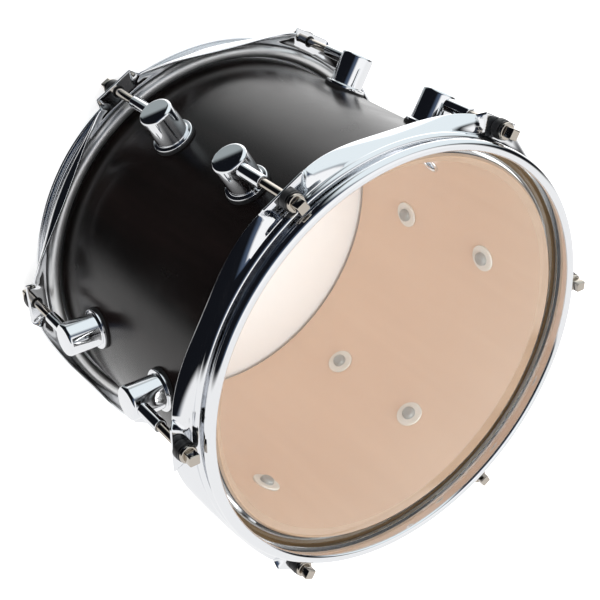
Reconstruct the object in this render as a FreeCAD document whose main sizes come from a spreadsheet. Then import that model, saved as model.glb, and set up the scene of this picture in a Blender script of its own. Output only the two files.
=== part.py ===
"""A ten-inch rack tom: shell, two heads, two flanged hoops, turret lugs and tension rods.

The drum stands on its rear hoop with its axis along +Z, and lug number one lies along +X.
Millimetres. The pieces of one end are drawn about that end's bearing plane, the plane in which
the shell's edge carries the head, with heights counted outwards from it.
"""
import FreeCAD, Part
import math
import os
import re

import Sketcher

SIZES = {
    # shell
    "lug_count": 6,
    "shell_radius": 126.5,
    "shell_wall": 6.0,
    "outer_ply": 0.6,
    "shell_depth": 190.0,
    "edge_setback": 2.0,
    "edge_peak_width": 0.6,
    # air vent
    "vent_radius": 6.4,
    "grommet_flange_radius": 9.5,
    "grommet_sheet": 1.2,
    # heads
    "film_thickness": 0.25,
    "hem_inset": 1.8,
    "flesh_gap": 1.7,
    "flesh_width": 7.6,
    "flesh_height": 8.0,
    "flesh_wall": 1.2,
    "flesh_lip": 5.0,
    "flesh_round": 0.55,
    "flesh_foot_round": 2.2,
    "flesh_drop": 1.0,
    "resin_depth": 3.8,
    # hoops
    "hoop_sheet": 1.6,
    "hoop_clearance": 0.4,
    "rim_gap": 4.5,
    "rim_reach": 6.5,
    "rim_rise": 11.3,
    "outer_bend": 2.4,
    "inner_bend": 0.5,
    "lip_round": 0.7,
    "skirt_drop": 14.2,
    "skirt_lean": 11.0,
    "ear_drop": 3.4,
    "ear_margin": 5.6,
    "ear_width": 24.0,
    "fold_width": 4.8,
    "wing_length": 11.4,
    "wing_lean": 60.0,
    "wing_sweep": 43.0,
    # bushes and washers under the rod heads
    "bush_radius": 6.0,
    "bush_height": 4.5,
    "bush_gap": 1.0,
    "sleeve_radius": 3.8,
    "sleeve_clearance": 0.1,
    "rod_washer_radius": 5.7,
    "rod_washer_height": 1.5,
    # tension rods
    "rod_radius": 2.7,
    "rod_clearance": 0.3,
    "rod_engagement": 22.0,
    "rod_point": 0.6,
    "collar_radius": 5.3,
    "collar_height": 2.0,
    "collar_round": 0.7,
    "key_square": 6.35,
    "key_height": 6.0,
    "key_chamfer": 0.5,
    # turret lugs
    "lug_drop": 55.3,
    "gasket_height": 1.3,
    "gasket_margin": 0.4,
    "turret_radius": 10.5,
    "base_margin": 2.5,
    "base_height": 1.8,
    "base_round": 0.6,
    "turret_cap": 1.7,
    "turret_round": 1.4,
    "receiver_radius": 4.0,
    "receiver_reach": 29.3,
    "receiver_root": 6.0,
    "receiver_clearance": 0.02,
    "thread_clearance": 0.075,
    # lug screws
    "screw_radius": 2.5,
    "screw_clearance": 0.5,
    "screw_fit": 0.05,
    "screw_engagement": 9.0,
    "screw_tip_room": 1.5,
    "screw_head_radius": 4.6,
    "screw_head_height": 3.2,
    "screw_head_round": 2.2,
    "screw_washer_radius": 9.2,
    "screw_washer_height": 1.2,
    "seat_gap": 0.02,
}

ALIAS = re.compile(r"[a-z]+(?:_[a-z]+)+")

# derived places, as expressions of the sheet's names
SHELL_INNER = "shell_radius - shell_wall"
PEAK_OUTER = "shell_radius - edge_setback"
PEAK_INNER = PEAK_OUTER + " - edge_peak_width"
PLY_INNER = "shell_radius - outer_ply"
FLESH_INNER = "shell_radius + flesh_gap"
FLESH_OUTER = FLESH_INNER + " + flesh_width"
FLESH_FOOT = "-(flesh_drop + flesh_height)"
RESIN_TOP = FLESH_FOOT + " + flesh_wall + resin_depth"
HEM_INNER = FLESH_INNER + " + flesh_wall + hem_inset"
HOOP_WALL_INNER = FLESH_OUTER + " + hoop_clearance"
HOOP_WALL_OUTER = HOOP_WALL_INNER + " + hoop_sheet"
RIM_INNER = "shell_radius + rim_gap"
ROD_CIRCLE = HOOP_WALL_OUTER + " + bush_gap + bush_radius"
EAR_TIP = ROD_CIRCLE + " + ear_margin"
ROD_BORE = "rod_radius + rod_clearance"
COLLAR_SEAT = "bush_height + rod_washer_height - ear_drop"
ROD_END = "receiver_reach - lug_drop - rod_engagement"
LUG_BASE = "shell_radius + gasket_height"
BASE_RADIUS = "turret_radius + base_margin"
TURRET_TOP = ROD_CIRCLE + " + receiver_radius + turret_cap"
SCREW_HOLE = "screw_radius + screw_clearance"
SCREW_TIP = LUG_BASE + " + screw_engagement"
FRONT_PLANE = "rim_rise + shell_depth"
REAR_PLANE = "rim_rise"

X_AXIS = FreeCAD.Vector(1, 0, 0)
Y_AXIS = FreeCAD.Vector(0, 1, 0)
Z_AXIS = FreeCAD.Vector(0, 0, 1)
TURNED_OVER = FreeCAD.Rotation(X_AXIS, 180)
PLACE_TOLERANCE = 1e-4
# sections along a hoop's swept wing, and how quickly its lean dies away
WING_STEPS = 4
WING_CURVE = 1.6

doc = FreeCAD.newDocument("rack_tom")
sheet = doc.addObject("Spreadsheet::Sheet", "sizes")
pieces = []


def fill_sheet():
    """Writes every driving size into the sheet, its name beside it."""
    for row, (name, value) in enumerate(SIZES.items(), start=1):
        sheet.set(f"A{row}", name)
        sheet.set(f"B{row}", str(value))
        sheet.setAlias(f"B{row}", name)
    doc.recompute()


def bound(expression):
    """The expression with each size's name pointing at its cell."""
    return ALIAS.sub(lambda name: "sizes." + name.group(), expression)


def size(name):
    """The number in a size's cell."""
    return float(sheet.get(name))


def new_body(label):
    body = doc.addObject("PartDesign::Body", label)
    body.Label = label
    body.AllowCompound = True
    pieces.append(body)
    return body


def origin_part(body, role):
    """One of the body's own planes or axes, such as XZ_Plane or Z_Axis."""
    return next(part for part in body.Origin.OriginFeatures if part.Role == role)


def new_sketch(body, name, plane, turn=0.0):
    """A sketch on one of the body's planes; turn swings the plane about its own upright axis."""
    sketch = body.newObject("Sketcher::SketchObject", name)
    sketch.AttachmentSupport = [(origin_part(body, plane), "")]
    sketch.MapMode = "FlatFace"
    sketch.AttachmentOffset = FreeCAD.Placement(FreeCAD.Vector(), FreeCAD.Rotation(Y_AXIS, turn))
    return sketch


def bind_distance(sketch, kind, element, point, expression):
    """Holds one coordinate of a sketch point, counted from the origin, to an expression."""
    index = sketch.addConstraint(Sketcher.Constraint(kind, -1, 1, element, point, 1.0))
    sketch.setExpression(f"Constraints[{index}]", bound(expression))


def outline(body, name, plane, corners, turn=0.0):
    """A closed outline of straight sides whose corners are pairs of expressions."""
    sketch = new_sketch(body, name, plane, turn)
    count = len(corners)
    angle = 2 * math.pi / count
    ring = [FreeCAD.Vector(math.cos(angle * i), math.sin(angle * i), 0) for i in range(count)]
    for i in range(count):
        sketch.addGeometry(Part.LineSegment(ring[i], ring[(i + 1) % count]), False)
    for i, (across, up) in enumerate(corners):
        sketch.addConstraint(Sketcher.Constraint("Coincident", i, 2, (i + 1) % count, 1))
        bind_distance(sketch, "DistanceX", i, 1, across)
        bind_distance(sketch, "DistanceY", i, 1, up)
    doc.recompute()
    return sketch


def circles(body, name, plane, rounds):
    """A sketch of circles, each a centre across, a centre up and a radius, as expressions."""
    sketch = new_sketch(body, name, plane)
    for i, (across, up, radius) in enumerate(rounds):
        sketch.addGeometry(Part.Circle(FreeCAD.Vector(i, 0, 0), Z_AXIS, 1.0 + i), False)
        bind_distance(sketch, "DistanceX", i, 3, across)
        bind_distance(sketch, "DistanceY", i, 3, up)
        index = sketch.addConstraint(Sketcher.Constraint("Radius", i, 1.0 + i))
        sketch.setExpression(f"Constraints[{index}]", bound(radius))
    doc.recompute()
    return sketch


def revolve(body, sketch, axis="V_Axis", angle=None):
    """Spins an outline about a sketch axis, a full turn or an arc centred on its plane."""
    feature = body.newObject("PartDesign::Revolution", sketch.Label + "_spin")
    feature.Profile = sketch
    feature.ReferenceAxis = (sketch, [axis])
    feature.Angle = 360.0 if angle is None else angle
    feature.Midplane = angle is not None
    doc.recompute()
    return feature


def pad(body, sketch, start, end):
    """Extrudes a sketch along its normal between two heights given as expressions."""
    feature = body.newObject("PartDesign::Pad", sketch.Label + "_pad")
    feature.Profile = sketch
    sketch.setExpression("AttachmentOffset.Base.z", bound(start))
    feature.setExpression("Length", bound(f"({end}) - ({start})"))
    doc.recompute()
    return feature


def pocket(body, sketch, length=None, reverse=False):
    """Cuts a sketch to a length given as an expression, or right through both ways."""
    feature = body.newObject("PartDesign::Pocket", sketch.Label + "_cut")
    feature.Profile = sketch
    if length is None:
        feature.Type = "ThroughAll"
        feature.Midplane = True
    else:
        feature.setExpression("Length", bound(length))
        feature.Reversed = reverse
    before = feature.BaseFeature.Shape.Volume
    doc.recompute()
    if not feature.Shape.Volume < before:
        raise RuntimeError(f"{feature.Label} cuts nothing")
    return feature


def repeat(body, name, features):
    """Repeats features once for each lug around the drum's axis."""
    pattern = body.newObject("PartDesign::PolarPattern", name)
    pattern.Originals = features
    pattern.Axis = (origin_part(body, "Z_Axis"), [""])
    pattern.Angle = 360.0
    pattern.setExpression("Occurrences", bound("lug_count"))
    body.Tip = pattern
    doc.recompute()
    return pattern


def round_corners(body, base, sketch, corners, radius, about="z"):
    """Rounds the ring edges that a revolved outline's corners drew, to a radius of the sheet."""
    names = []
    for corner in corners:
        point = sketch.Geometry[corner].StartPoint
        ring_radius, height = (point.x, point.y) if about == "z" else (point.y, point.x)
        for number, edge in enumerate(base.Shape.Edges, start=1):
            if not isinstance(edge.Curve, Part.Circle):
                continue
            same_radius = abs(edge.Curve.Radius - ring_radius) < PLACE_TOLERANCE
            if same_radius and abs(getattr(edge.Curve.Center, about) - height) < PLACE_TOLERANCE:
                names.append(f"Edge{number}")
    feature = body.newObject("PartDesign::Fillet", f"{sketch.Label}_{radius}")
    feature.Base = (base, names)
    feature.setExpression("Radius", bound(radius))
    doc.recompute()
    return feature


def set_height(body, expression):
    body.setExpression("Placement.Base.z", bound(expression))


def place_end(body, end):
    """Puts a piece drawn about the bearing plane at the front end, or turned over at the rear."""
    if end == "rear":
        body.Placement = FreeCAD.Placement(FreeCAD.Vector(), TURNED_OVER)
    set_height(body, FRONT_PLANE if end == "front" else REAR_PLANE)


def lug_height(end):
    return f"{FRONT_PLANE} - lug_drop" if end == "front" else f"{REAR_PLANE} + lug_drop"


def lug_angles():
    count = int(size("lug_count"))
    return [360.0 * i / count for i in range(count)]


def drill_shell(body):
    """Bores the lug screw holes of both ends and the air vent through a layer of the shell."""
    holes = circles(body, "screw_holes", "YZ_Plane",
                    [("0", lug_height("front"), SCREW_HOLE), ("0", lug_height("rear"), SCREW_HOLE)])
    bored = pocket(body, holes, "shell_radius + shell_wall", reverse=True)
    repeat(body, "screw_hole_rows", [bored])
    vent = circles(body, "vent", "XZ_Plane", [("0", "rim_rise + shell_depth / 2", "vent_radius")])
    pocket(body, vent, "shell_radius + shell_wall", reverse=True)


def make_shell():
    """Maple plies with a bearing edge at each end: a narrow peak, bevelled both ways."""
    body = new_body("shell")
    inner_fall = f"(({PEAK_INNER}) - ({SHELL_INNER}))"
    outer_fall = f"(({PLY_INNER}) - ({PEAK_OUTER}))"
    corners = [
        (SHELL_INNER, f"{REAR_PLANE} + {inner_fall}"),
        (PEAK_INNER, REAR_PLANE),
        (PEAK_OUTER, REAR_PLANE),
        (PLY_INNER, f"{REAR_PLANE} + {outer_fall}"),
        (PLY_INNER, f"{FRONT_PLANE} - {outer_fall}"),
        (PEAK_OUTER, FRONT_PLANE),
        (PEAK_INNER, FRONT_PLANE),
        (SHELL_INNER, f"{FRONT_PLANE} - {inner_fall}"),
    ]
    revolve(body, outline(body, "section", "XZ_Plane", corners))
    drill_shell(body)


def make_outer_ply():
    """The thin lacquered ply bonded round the shell, which takes up the outer end of the bevel."""
    body = new_body("outer_ply")
    inner_fall = "(edge_setback - outer_ply)"
    corners = [
        (PLY_INNER, f"{REAR_PLANE} + {inner_fall}"),
        ("shell_radius", f"{REAR_PLANE} + edge_setback"),
        ("shell_radius", f"{FRONT_PLANE} - edge_setback"),
        (PLY_INNER, f"{FRONT_PLANE} - {inner_fall}"),
    ]
    revolve(body, outline(body, "section", "XZ_Plane", corners))
    drill_shell(body)


def make_vent_grommet():
    """Eyelet of the air vent, drawn about +X and turned to stand between two lugs."""
    body = new_body("vent_grommet")
    tube_radius = "vent_radius - seat_gap"
    outer_seat = "shell_radius + seat_gap"
    rolled_seat = f"sqrt(({SHELL_INNER}) ^ 2 - (vent_radius + grommet_sheet) ^ 2) - seat_gap"
    corners = [
        (f"{rolled_seat} - grommet_sheet", f"{tube_radius} - grommet_sheet"),
        (f"{outer_seat} + grommet_sheet", f"{tube_radius} - grommet_sheet"),
        (f"{outer_seat} + grommet_sheet", "grommet_flange_radius"),
        (outer_seat, "grommet_flange_radius"),
        (outer_seat, tube_radius),
        (rolled_seat, tube_radius),
        (rolled_seat, "vent_radius + grommet_sheet"),
        (f"{rolled_seat} - grommet_sheet", "vent_radius + grommet_sheet"),
    ]
    revolve(body, outline(body, "section", "XZ_Plane", corners), axis="H_Axis")
    body.Placement = FreeCAD.Placement(FreeCAD.Vector(), FreeCAD.Rotation(Z_AXIS, -90))
    set_height(body, "rim_rise + shell_depth / 2")


def make_film(end):
    """Head film: flat over the bearing edge, then a sloped collar down to the resin."""
    body = new_body(f"{end}_head_film")
    corners = [
        ("0", "0"),
        (PEAK_OUTER, "0"),
        (HEM_INNER, f"{RESIN_TOP} + film_thickness"),
        (HEM_INNER, RESIN_TOP),
        (f"{HEM_INNER} + film_thickness", RESIN_TOP),
        (f"{HEM_INNER} + film_thickness", f"{RESIN_TOP} + 2 * film_thickness"),
        (f"{PEAK_OUTER} + film_thickness / 2", "film_thickness"),
        ("0", "film_thickness"),
    ]
    revolve(body, outline(body, "section", "XZ_Plane", corners))
    place_end(body, end)


def make_flesh_hoop(end):
    """Aluminium channel round the head, open towards the film, its inner wall the lower one."""
    body = new_body(f"{end}_flesh_hoop")
    top = "-flesh_drop"
    corners = [
        (FLESH_INNER, FLESH_FOOT),
        (FLESH_OUTER, FLESH_FOOT),
        (FLESH_OUTER, top),
        (f"{FLESH_OUTER} - flesh_wall", top),
        (f"{FLESH_OUTER} - flesh_wall", f"{FLESH_FOOT} + flesh_wall"),
        (f"{FLESH_INNER} + flesh_wall", f"{FLESH_FOOT} + flesh_wall"),
        (f"{FLESH_INNER} + flesh_wall", f"{FLESH_FOOT} + flesh_lip"),
        (FLESH_INNER, f"{FLESH_FOOT} + flesh_lip"),
    ]
    sketch = outline(body, "section", "XZ_Plane", corners)
    channel = revolve(body, sketch)
    eased = round_corners(body, channel, sketch, [2, 7], "flesh_round")
    round_corners(body, eased, sketch, [0, 1], "flesh_foot_round")
    place_end(body, end)


def make_resin_ring(end):
    """Cast resin that locks the film's hem in the channel."""
    body = new_body(f"{end}_resin_ring")
    inner = f"{FLESH_INNER} + flesh_wall"
    outer = f"{FLESH_OUTER} - flesh_wall"
    floor = f"{FLESH_FOOT} + flesh_wall"
    corners = [(inner, floor), (outer, floor), (outer, RESIN_TOP), (inner, RESIN_TOP)]
    revolve(body, outline(body, "section", "XZ_Plane", corners))
    place_end(body, end)


def flange_section(lean, length):
    """Corners of the lower flange, which leans out from the wall by an angle from hanging."""
    level = "-ear_drop"
    tip = f"{HOOP_WALL_OUTER} + ({length}) * sin({lean})"
    fall = f"{level} - ({length}) * cos({lean})"
    return [
        (HOOP_WALL_INNER, level),
        (HOOP_WALL_OUTER, level),
        (tip, fall),
        (f"{tip} - hoop_sheet * cos({lean})", f"{fall} - hoop_sheet * sin({lean})"),
        (HOOP_WALL_INNER, f"{level} - hoop_sheet"),
    ]


def ear_angles():
    """Half turns round the drum at which an ear's level part, its folds and its swept wings end."""
    wall = size("shell_radius") + size("flesh_gap") + size("flesh_width")
    level = math.degrees(size("ear_width") / 2 / wall)
    fold = level + math.degrees(size("fold_width") / wall)
    return level, fold, fold + math.degrees(size("wing_sweep") / wall)


def ear_stations():
    """Flange sections across half an ear, from its middle to where the skirt hangs, by angle."""
    level_angle, fold_angle, sweep_angle = ear_angles()
    skirt_length = "(skirt_drop - ear_drop) / cos(skirt_lean)"
    stations = []
    for angle in (0.0, level_angle):
        reach = f"({EAR_TIP}) / cos({angle}) - ({HOOP_WALL_OUTER})"
        stations.append((angle, flange_section("90", reach)))
    for step in range(WING_STEPS + 1):
        left = 1 - step / WING_STEPS
        angle = sweep_angle - (sweep_angle - fold_angle) * left
        length = f"{skirt_length} + (wing_length - {skirt_length}) * {left ** 2}"
        lean = f"skirt_lean + (wing_lean - skirt_lean) * {left ** WING_CURVE}"
        stations.append((angle, flange_section(lean, length)))
    return stations


def make_hoop(end):
    """Triple-flanged hoop: rim turned out, step over the flesh hoop, skirt and ears."""
    body = new_body(f"{end}_hoop")
    step_top = "hoop_sheet - flesh_drop"
    rim_under = "rim_rise - hoop_sheet"
    upper_wall = f"{RIM_INNER} + hoop_sheet"
    corners = [
        (RIM_INNER, "-flesh_drop"),
        (HOOP_WALL_INNER, "-flesh_drop"),
        (HOOP_WALL_INNER, "-ear_drop"),
        (HOOP_WALL_OUTER, "-ear_drop"),
        (HOOP_WALL_OUTER, step_top),
        (upper_wall, step_top),
        (upper_wall, rim_under),
        (f"{RIM_INNER} + rim_reach", rim_under),
        (f"{RIM_INNER} + rim_reach", "rim_rise"),
        (RIM_INNER, "rim_rise"),
    ]
    sketch = outline(body, "section", "XZ_Plane", corners)
    ring = revolve(body, sketch)
    ring = round_corners(body, ring, sketch, [0, 4, 9], "outer_bend")
    ring = round_corners(body, ring, sketch, [1, 5, 6], "inner_bend")
    round_corners(body, ring, sketch, [7, 8], "lip_round")

    half_ear = ear_stations()
    sweep_angle, hanging = half_ear[-1]
    pitch = 360.0 / size("lug_count")
    skirt = revolve(body, outline(body, "skirt", "XZ_Plane", hanging, turn=pitch / 2),
                    angle=pitch - 2 * sweep_angle)
    mirrored = [(-angle, corners) for angle, corners in reversed(half_ear[1:])]
    sections = [outline(body, f"ear_section_{i}", "XZ_Plane", corners, turn=angle)
                for i, (angle, corners) in enumerate(mirrored + half_ear)]
    ear = body.newObject("PartDesign::AdditiveLoft", "ear")
    ear.Profile = sections[0]
    ear.Sections = sections[1:]
    ear.Ruled = True
    doc.recompute()
    hole_sketch = circles(body, "rod_hole", "XY_Plane",
                          [(ROD_CIRCLE, "0", "sleeve_radius + sleeve_clearance")])
    hole = pocket(body, hole_sketch)
    repeat(body, "ears", [skirt, ear, hole])
    place_end(body, end)


def ring_of_tubes(label, steps):
    """Stepped tubes round the rod circle: each step is an outer radius, a bore and two heights."""
    body = new_body(label)
    features = []
    for i, (radius, bore, start, finish) in enumerate(steps):
        sketch = circles(body, f"ring_{i}", "XY_Plane", [(ROD_CIRCLE, "0", radius), (ROD_CIRCLE, "0", bore)])
        features.append(pad(body, sketch, start, finish))
    repeat(body, "places", features)
    return body


def make_rod_bushes(end):
    """Black bushes: a thick flange on the ear and a sleeve through its hole."""
    steps = [
        ("bush_radius", ROD_BORE, "-ear_drop", "bush_height - ear_drop"),
        ("sleeve_radius", ROD_BORE, "-(ear_drop + hoop_sheet)", "-ear_drop"),
    ]
    place_end(ring_of_tubes(f"{end}_rod_bushes", steps), end)


def make_rod_washers(end):
    """Thin washers between bush and rod collar."""
    steps = [("rod_washer_radius", ROD_BORE, "bush_height - ear_drop", COLLAR_SEAT)]
    place_end(ring_of_tubes(f"{end}_rod_washers", steps), end)


def make_receivers(end):
    """Threaded tubes that stand out of the turrets and take the rods."""
    steps = [
        ("receiver_radius", "rod_radius + thread_clearance", "-(lug_drop + receiver_root)",
         "receiver_reach - lug_drop"),
    ]
    place_end(ring_of_tubes(f"{end}_receivers", steps), end)


def make_rod(end, number, angle):
    """Tension rod: pointed shank, round collar and square key head."""
    body = new_body(f"{end}_rod_{number}")
    corners = [
        ("0", ROD_END),
        ("rod_radius - rod_point", ROD_END),
        ("rod_radius", f"{ROD_END} + rod_point"),
        ("rod_radius", COLLAR_SEAT),
        ("collar_radius", COLLAR_SEAT),
        ("collar_radius", f"{COLLAR_SEAT} + collar_height"),
        ("0", f"{COLLAR_SEAT} + collar_height"),
    ]
    sketch = outline(body, "section", "XZ_Plane", corners)
    shank = revolve(body, sketch)
    round_corners(body, shank, sketch, [5], "collar_round")
    half = "key_square / 2"
    square = outline(body, "key", "XY_Plane",
                     [(half, half), (f"-{half}", half), (f"-{half}", f"-{half}"), (half, f"-{half}")])
    key_seat = f"{COLLAR_SEAT} + collar_height"
    key = pad(body, square, key_seat, f"{key_seat} + key_height")
    key_top = max(key.Shape.Edges, key=lambda edge: edge.BoundBox.ZMin).BoundBox.ZMin
    top_edges = [f"Edge{i}" for i, edge in enumerate(key.Shape.Edges, start=1)
                 if edge.BoundBox.ZMin > key_top - PLACE_TOLERANCE]
    chamfer = body.newObject("PartDesign::Chamfer", "key_chamfer")
    chamfer.Base = (key, top_edges)
    chamfer.setExpression("Size", bound("key_chamfer"))
    if end == "rear":
        body.Placement = FreeCAD.Placement(FreeCAD.Vector(), TURNED_OVER)
    body.setExpression("Placement.Base.x", bound(f"({ROD_CIRCLE}) * cos({angle} deg)"))
    body.setExpression("Placement.Base.y", bound(f"({ROD_CIRCLE}) * sin({angle} deg)"))
    set_height(body, FRONT_PLANE if end == "front" else REAR_PLANE)


def make_turret(end, number, angle):
    """Round lug drawn about +X: base flange, straight body, cross bore and tapped hole."""
    body = new_body(f"{end}_turret_{number}")
    tapped = "screw_radius + screw_fit"
    hole_end = f"{SCREW_TIP} + screw_tip_room"
    corners = [
        (LUG_BASE, tapped),
        (LUG_BASE, BASE_RADIUS),
        (f"{LUG_BASE} + base_height", BASE_RADIUS),
        (f"{LUG_BASE} + base_height", "turret_radius"),
        (TURRET_TOP, "turret_radius"),
        (TURRET_TOP, "0"),
        (hole_end, "0"),
        (hole_end, tapped),
    ]
    sketch = outline(body, "section", "XZ_Plane", corners)
    turned = revolve(body, sketch, axis="H_Axis")
    eased = round_corners(body, turned, sketch, [2], "base_round", about="x")
    round_corners(body, eased, sketch, [4], "turret_round", about="x")
    fit = "receiver_radius + receiver_clearance"
    bore = circles(body, "cross_bore", "XY_Plane", [(ROD_CIRCLE, "0", fit)])
    bore.setExpression("AttachmentOffset.Base.z", bound("-receiver_root"))
    pocket(body, bore, f"receiver_root + {BASE_RADIUS}", reverse=True)
    turn = FreeCAD.Rotation(Z_AXIS, angle)
    body.Placement = FreeCAD.Placement(FreeCAD.Vector(), turn if end == "front" else turn * TURNED_OVER)
    set_height(body, lug_height(end))


def make_gaskets(end):
    """Black gaskets between turret and shell, hollowed to the shell's curve."""
    body = new_body(f"{end}_gaskets")
    sketch = circles(body, "disc", "YZ_Plane",
                     [("0", "0", f"{BASE_RADIUS} + gasket_margin"), ("0", "0", SCREW_HOLE)])
    disc = pad(body, sketch, SHELL_INNER, LUG_BASE)
    repeat(body, "places", [disc])
    pocket(body, circles(body, "shell_curve", "XY_Plane", [("0", "0", "shell_radius")]))
    set_height(body, lug_height(end))


WASHER_SEAT = f"sqrt(({SHELL_INNER}) ^ 2 - screw_washer_radius ^ 2) - seat_gap"
HEAD_SEAT = f"{WASHER_SEAT} - screw_washer_height"


def make_screw_washers(end):
    """Broad washers inside the shell, seated across its curve."""
    body = new_body(f"{end}_screw_washers")
    sketch = circles(body, "disc", "YZ_Plane",
                     [("0", "0", "screw_washer_radius"), ("0", "0", SCREW_HOLE)])
    disc = pad(body, sketch, HEAD_SEAT, WASHER_SEAT)
    repeat(body, "places", [disc])
    set_height(body, lug_height(end))


def make_lug_screws(end):
    """Round-headed screws from inside the shell into the turrets."""
    body = new_body(f"{end}_lug_screws")
    head_top = f"{HEAD_SEAT} - screw_head_height"
    corners = [
        (head_top, "0"),
        (SCREW_TIP, "0"),
        (SCREW_TIP, "screw_radius"),
        (HEAD_SEAT, "screw_radius"),
        (HEAD_SEAT, "screw_head_radius"),
        (head_top, "screw_head_radius"),
    ]
    sketch = outline(body, "section", "XZ_Plane", corners)
    screw = revolve(body, sketch, axis="H_Axis")
    domed = round_corners(body, screw, sketch, [5], "screw_head_round", about="x")
    repeat(body, "places", [screw, domed])
    set_height(body, lug_height(end))


def check_and_write():
    """Stops on any failed feature or bad shape, then writes one file for each piece."""
    doc.recompute()
    failed = [item.Label for item in doc.Objects if {"Invalid", "Error"} & set(item.State)]
    if failed:
        raise RuntimeError(f"failed features: {failed}")
    for body in pieces:
        if body.Shape.isNull() or not body.Shape.isValid() or not body.Shape.Solids:
            raise RuntimeError(f"bad shape: {body.Label}")
    os.makedirs("parts", exist_ok=True)
    for body in pieces:
        body.Shape.exportStep(f"parts/{body.Label}.step")
        print(f"{body.Label}: {len(body.Shape.Solids)} solid(s), {body.Shape.Volume:.0f} mm3")


fill_sheet()
make_shell()
make_outer_ply()
make_vent_grommet()
for drum_end in ("front", "rear"):
    make_film(drum_end)
    make_flesh_hoop(drum_end)
    make_resin_ring(drum_end)
    make_hoop(drum_end)
    make_rod_bushes(drum_end)
    make_rod_washers(drum_end)
    make_receivers(drum_end)
    make_gaskets(drum_end)
    make_screw_washers(drum_end)
    make_lug_screws(drum_end)
    for lug_number, lug_angle in enumerate(lug_angles(), start=1):
        make_turret(drum_end, lug_number, lug_angle)
        make_rod(drum_end, lug_number, lug_angle)
check_and_write()
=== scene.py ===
"""Looks of a rack tom: hoops, heads, lugs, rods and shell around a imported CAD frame.

The drum stands on its rear hoop with its axis along +Z, in metres. The pieces of one end are drawn
about that end's bearing plane, with heights counted outwards from it, and then put in place.
"""
import math

import bmesh
import bpy
from bpy.props import FloatProperty, FloatVectorProperty, IntProperty, PointerProperty
from mathutils import Matrix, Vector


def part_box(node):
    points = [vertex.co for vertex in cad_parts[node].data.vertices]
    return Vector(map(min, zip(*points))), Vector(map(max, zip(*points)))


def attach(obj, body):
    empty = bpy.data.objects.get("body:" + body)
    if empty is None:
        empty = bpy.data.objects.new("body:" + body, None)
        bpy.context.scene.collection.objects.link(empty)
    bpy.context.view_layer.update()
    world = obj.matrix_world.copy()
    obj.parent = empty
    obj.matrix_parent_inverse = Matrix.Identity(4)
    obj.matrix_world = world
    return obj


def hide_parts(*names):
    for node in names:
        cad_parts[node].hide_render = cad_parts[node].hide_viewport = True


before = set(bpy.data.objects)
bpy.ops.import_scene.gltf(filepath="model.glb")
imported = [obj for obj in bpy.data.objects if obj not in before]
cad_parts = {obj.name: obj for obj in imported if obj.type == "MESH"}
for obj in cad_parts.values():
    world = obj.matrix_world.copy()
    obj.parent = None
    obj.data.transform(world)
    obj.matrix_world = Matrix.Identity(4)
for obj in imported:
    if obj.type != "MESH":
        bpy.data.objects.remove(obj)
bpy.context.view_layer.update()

bl_info = {
    "name": "Rack Tom",
    "version": (1, 0, 0),
    "blender": (4, 5, 0),
    "location": "3D View > Sidebar > Rack Tom",
    "description": "Builds the looks of a rack tom around its packed frame",
    "category": "Add Mesh",
}

ENDS = ("front", "rear")
FULL_TURN = 2 * math.pi
DRUM = "drum"
ROUND_SIDES = 48
SKIRT_STEPS = 10
BEND_SEGMENTS, ROLL_SEGMENTS, ROLL_RADIUS = 5, 9, 0.003
KEY_SEGMENTS = 4
MERGE_DISTANCE = 1e-6
EDGE_SLOPE = 0.3
EAR_MARGIN = 0.0001
# Depths of the marks of handling and of open pores.
METAL_MARKS, PLASTIC_MARKS, PORES = 0.00002, 0.0001, 0.0001
# Roundings, and a rod's point, as shares of the thickness or radius that they ease.
FULL_EDGE, SOFT_EDGE, HOOP_EDGE, GROMMET_ROLL, ROD_POINT = 0.45, 0.4, 0.3, 0.7, 0.25


def low(node):
    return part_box(node)[0]


def high(node):
    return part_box(node)[1]


LUGS = [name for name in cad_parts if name.startswith("front_turret_")]
LUG_COUNT = len(LUGS)
PITCH = FULL_TURN / LUG_COUNT
PLANE = {"front": high("shell")[2], "rear": low("shell")[2]}
LUG_HEIGHT = {end: (low(f"{end}_turret_1")[2] + high(f"{end}_turret_1")[2]) / 2 for end in ENDS}
MIDDLE = (PLANE["front"] + PLANE["rear"]) / 2
ROD_CIRCLE = (low("front_rod_1")[0] + high("front_rod_1")[0]) / 2
TURRET_FOOT, TURRET_TOP = low("front_turret_1")[0], high("front_turret_1")[0]
EAR_TIP = high("front_hoop")[0] - EAR_MARGIN
WASHER_SEAT = high("front_screw_washers")[0]
WASHER_RADIUS = (high("front_screw_washers")[2] - low("front_screw_washers")[2]) / 2


def above_plane(node):
    """Height of a front node's top over the bearing plane."""
    return high(node)[2] - PLANE["front"]


def length(label, words, metres):
    return FloatProperty(name=label, description=words, default=metres, unit="LENGTH", precision=5)


def angle(label, words, degrees):
    return FloatProperty(name=label, description=words, default=math.radians(degrees), subtype="ANGLE")


def factor(label, words, value, top=1.0):
    return FloatProperty(name=label, description=words, default=value, min=0.0, max=top)


def count(label, words, number, least):
    return IntProperty(name=label, description=words, default=number, min=least)


def colour(label, words, red, green, blue):
    return FloatVectorProperty(name=label, description=words, default=(red, green, blue, 1.0), size=4,
                               subtype="COLOR", min=0.0, max=1.0)


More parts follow.
